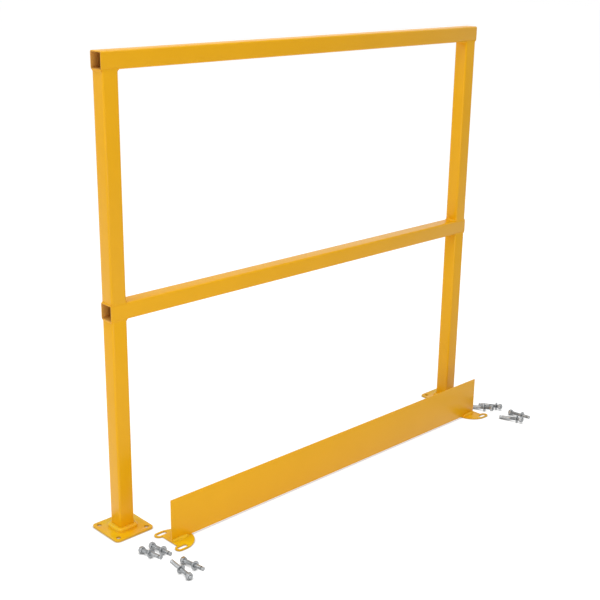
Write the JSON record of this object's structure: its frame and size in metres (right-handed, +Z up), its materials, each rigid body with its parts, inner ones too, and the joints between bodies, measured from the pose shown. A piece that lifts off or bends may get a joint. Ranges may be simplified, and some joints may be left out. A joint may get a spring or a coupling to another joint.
{
  "type": "industrial guard rail",
  "caption": "Welded square-tube guard rail with top and middle rails on drilled base plates, its separate toe board on slotted feet, and loose wedge anchors for the floor.",
  "frame": {"origin": "centre of the left base plate's underside, on the floor", "axes": "+X along the rails from the left post to the right post, +Y away from the side where the toe board and anchors lie, +Z up"},
  "size_m": [1.2476, 0.3294, 1.0668],
  "materials": {
    "yellow_coat": "safety yellow powder coat, semi-gloss, on steel",
    "weld_coat": "safety yellow powder coat over weld metal",
    "anchor_zinc": "bright zinc plating on steel"
  },
  "bodies": {
    "root": {"top_rail": "yellow_coat", "mid_rail": "yellow_coat", "left_base_plate": "yellow_coat", "left_post_lower": "yellow_coat", "left_post_upper": "yellow_coat", "left_foot_weld": "weld_coat", "left_top_weld": "weld_coat", "left_mid_weld_below": "weld_coat", "left_mid_weld_above": "weld_coat", "right_base_plate": "yellow_coat", "right_post_lower": "yellow_coat", "right_post_upper": "yellow_coat", "right_foot_weld": "weld_coat", "right_top_weld": "weld_coat", "right_mid_weld_below": "weld_coat", "right_mid_weld_above": "weld_coat", "toe_board": "yellow_coat", "left_toe_foot": "yellow_coat", "left_toe_weld_front": "weld_coat", "left_toe_weld_back": "weld_coat", "right_toe_foot": "yellow_coat", "right_toe_weld_front": "weld_coat", "right_toe_weld_back": "weld_coat", "anchor_1_stud": "anchor_zinc", "anchor_1_clip": "anchor_zinc", "anchor_1_nut": "anchor_zinc", "anchor_1_washer": "anchor_zinc", "anchor_2_stud": "anchor_zinc", "anchor_2_clip": "anchor_zinc", "anchor_2_nut": "anchor_zinc", "anchor_2_washer": "anchor_zinc", "anchor_3_stud": "anchor_zinc", "anchor_3_clip": "anchor_zinc", "anchor_3_nut": "anchor_zinc", "anchor_3_washer": "anchor_zinc", "anchor_4_stud": "anchor_zinc", "anchor_4_clip": "anchor_zinc", "anchor_4_nut": "anchor_zinc", "anchor_4_washer": "anchor_zinc", "anchor_5_stud": "anchor_zinc", "anchor_5_clip": "anchor_zinc", "anchor_5_nut": "anchor_zinc", "anchor_5_washer": "anchor_zinc", "anchor_6_stud": "anchor_zinc", "anchor_6_clip": "anchor_zinc", "anchor_6_nut": "anchor_zinc", "anchor_6_washer": "anchor_zinc", "anchor_7_stud": "anchor_zinc", "anchor_7_clip": "anchor_zinc", "anchor_7_nut": "anchor_zinc", "anchor_7_washer": "anchor_zinc", "anchor_8_stud": "anchor_zinc", "anchor_8_clip": "anchor_zinc", "anchor_8_nut": "anchor_zinc", "anchor_8_washer": "anchor_zinc"}
  },
  "joints": []
}
